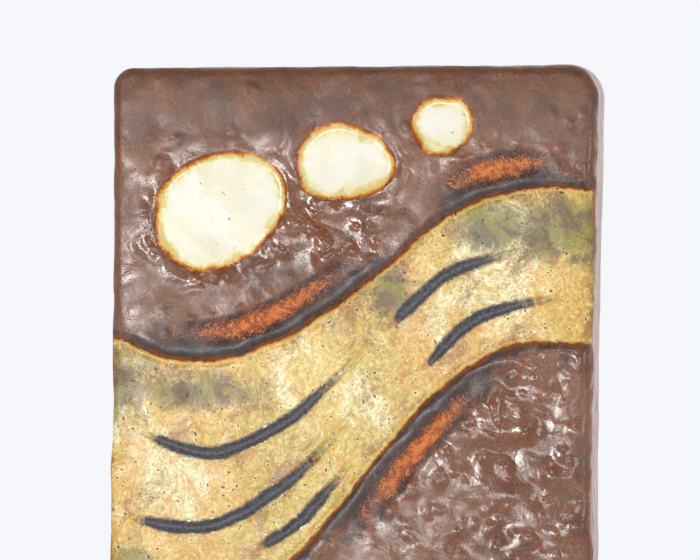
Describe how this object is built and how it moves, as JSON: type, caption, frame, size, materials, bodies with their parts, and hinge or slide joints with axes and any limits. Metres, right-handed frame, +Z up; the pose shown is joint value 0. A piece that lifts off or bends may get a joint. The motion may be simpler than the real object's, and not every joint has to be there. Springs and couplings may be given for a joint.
{
  "type": "wall plaque",
  "caption": "Upright rectangular wall plaque of glazed stoneware, with a low carved relief on its face and a flat back with a hanging slot.",
  "frame": {"origin": "middle of the flat back, where the plaque bears on its wall", "axes": "+Z up, +Y out of the back towards the wall, so the face looks along -Y, +X to the right seen from the front"},
  "size_m": [0.18, 0.0226, 0.2799],
  "materials": {
    "glazed_stoneware": "satin brown glaze with ochre and cream areas, bare clay behind"
  },
  "bodies": {
    "root": {"stoneware_plaque": "glazed_stoneware"}
  },
  "joints": []
}
